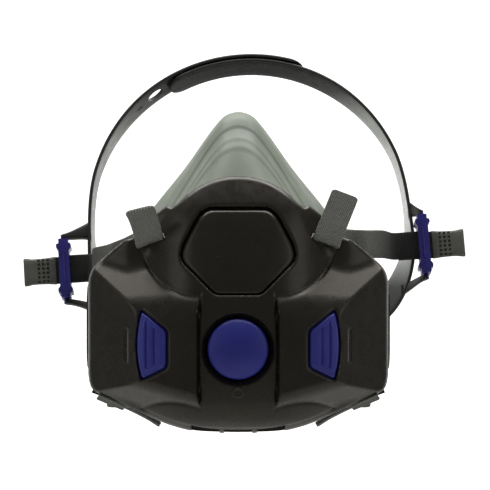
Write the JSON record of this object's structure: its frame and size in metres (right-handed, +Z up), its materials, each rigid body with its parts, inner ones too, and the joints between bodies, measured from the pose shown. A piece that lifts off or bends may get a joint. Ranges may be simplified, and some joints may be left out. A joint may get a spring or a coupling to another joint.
{
  "type": "half-mask respirator",
  "caption": "Reusable half-mask respirator with a push-to-check seal button, speaking diaphragm, quick-release cartridge ports on both sides and an adjustable head harness.",
  "frame": {"origin": "centre of the face opening, in the plane of the face seal's rim", "axes": "-Y out of the mask's front, +Y towards the wearer, +Z up, +X the right side in a front view"},
  "size_m": [0.204, 0.1686, 0.1709],
  "materials": {
    "shell": "satin, fine grain",
    "silicone": "satin silicone",
    "blue": "satin moulded",
    "frame": "moulded",
    "webbing": "woven elastic",
    "band": "smooth, slightly translucent",
    "film": "thin film",
    "steel": "spring wire",
    "rubber": "matte"
  },
  "bodies": {
    "facepiece": {"face_seal": "silicone", "front_shell": "shell", "diaphragm_cover": "shell", "button_bezel": "shell", "core_frame": "frame", "diaphragm_housing": "frame", "diaphragm_film": "film", "diaphragm_ring": "frame", "exhalation_seat": "frame", "exhalation_hood": "frame", "seal_check_spring": "steel", "left_housing": "shell", "left_port": "frame", "left_port_gasket": "rubber", "left_inhalation_seat": "frame", "left_release_spring": "steel", "left_latch_pin": "steel", "left_upper_strap_tab": "webbing", "left_lower_strap_tab": "webbing", "right_housing": "shell", "right_port": "frame", "right_port_gasket": "rubber", "right_inhalation_seat": "frame", "right_release_spring": "steel", "right_latch_pin": "steel", "right_upper_strap_tab": "webbing", "right_lower_strap_tab": "webbing"},
    "seal_check": {"seal_check_button": "blue", "check_shutter": "frame"},
    "left_release": {"left_release_button": "blue"},
    "right_release": {"right_release_button": "blue"},
    "left_latch_lever": {"left_latch": "frame"},
    "right_latch_lever": {"right_latch": "frame"},
    "left_inhalation": {"left_inhalation_flap": "rubber"},
    "right_inhalation": {"right_inhalation_flap": "rubber"},
    "exhalation": {"exhalation_flap": "rubber"},
    "cradle": {"cradle_band_right": "band", "right_buckle": "blue", "right_upper_strap": "webbing", "left_upper_strap": "webbing"},
    "right_pull": {"right_pull_tab": "webbing"},
    "left_cradle": {"cradle_band_left": "band", "left_buckle": "blue", "left_upper_strap_rear": "webbing"},
    "left_pull": {"left_pull_tab": "webbing"},
    "neck_loop": {"left_neck_strap": "webbing", "right_neck_strap": "webbing", "neck_hook": "blue", "neck_eye": "blue"}
  },
  "joints": [
    {"name": "seal_check_press", "type": "slide", "parent": "facepiece", "child": "seal_check", "axis": [0, 1, 0], "range_m": [0, 0.0032], "stiffness_N_per_m": 80, "springref_m": -0.004, "deforming": ["seal_check_spring"]},
    {"name": "left_release_press", "type": "slide", "parent": "facepiece", "child": "left_release", "axis": [0, 1, 0], "range_m": [0, 0.0025], "stiffness_N_per_m": 60, "springref_m": -0.003, "deforming": ["left_release_spring"]},
    {"name": "left_latch_turn", "type": "hinge", "parent": "facepiece", "child": "left_latch_lever", "pos_m": [-0.056, -0.042, -0.031], "axis": [0, 0, 1], "range_deg": [0, 8.6]},
    {"name": "left_inhalation_open", "type": "hinge", "parent": "facepiece", "child": "left_inhalation", "pos_m": [-0.022, -0.04565, -0.0242], "axis": [1, 0, 0], "range_deg": [0, 25], "stiffness_Nm_per_rad": 0.0004, "springref_deg": -8.59},
    {"name": "right_release_press", "type": "slide", "parent": "facepiece", "child": "right_release", "axis": [0, 1, 0], "range_m": [0, 0.0025], "stiffness_N_per_m": 60, "springref_m": -0.003, "deforming": ["right_release_spring"]},
    {"name": "right_latch_turn", "type": "hinge", "parent": "facepiece", "child": "right_latch_lever", "pos_m": [0.056, -0.042, -0.031], "axis": [0, 0, 1], "range_deg": [-8.6, 0]},
    {"name": "right_inhalation_open", "type": "hinge", "parent": "facepiece", "child": "right_inhalation", "pos_m": [0.022, -0.04565, -0.0242], "axis": [1, 0, 0], "range_deg": [0, 25], "stiffness_Nm_per_rad": 0.0004, "springref_deg": -8.59},
    {"name": "exhalation_open", "type": "hinge", "parent": "facepiece", "child": "exhalation", "pos_m": [0, -0.05095, -0.046], "axis": [-1, 0, 0], "range_deg": [0, 20], "stiffness_Nm_per_rad": 0.0004, "springref_deg": -8.59},
    {"name": "cradle_tilt", "type": "hinge", "parent": "facepiece", "child": "cradle", "pos_m": [0, -0.0442, 0.0096], "axis": [1, 0, 0], "range_deg": [-3, 50]},
    {"name": "crown_size", "type": "hinge", "parent": "cradle", "child": "left_cradle", "pos_m": [0.006, 0.03946, 0.02098], "axis": [0, 0.9781, -0.2079], "range_deg": [-3, 3]},
    {"name": "right_strap_pull", "type": "slide", "parent": "cradle", "child": "right_pull", "axis": [0.9976, 0.0145, 0.0682], "range_m": [0, 0.01]},
    {"name": "left_strap_pull", "type": "slide", "parent": "left_cradle", "child": "left_pull", "axis": [-0.9976, -0.0145, -0.0682], "range_m": [0, 0.01]},
    {"name": "neck_loop_swing", "type": "hinge", "parent": "facepiece", "child": "neck_loop", "pos_m": [0, -0.0104, -0.0573], "axis": [1, 0, 0], "range_deg": [-35, 4]}
  ],
  "couplings": [
    {"joint": "left_latch_turn", "follows": "left_release_press", "rad_per_m": 57.5},
    {"joint": "right_latch_turn", "follows": "right_release_press", "rad_per_m": -57.5}
  ]
}
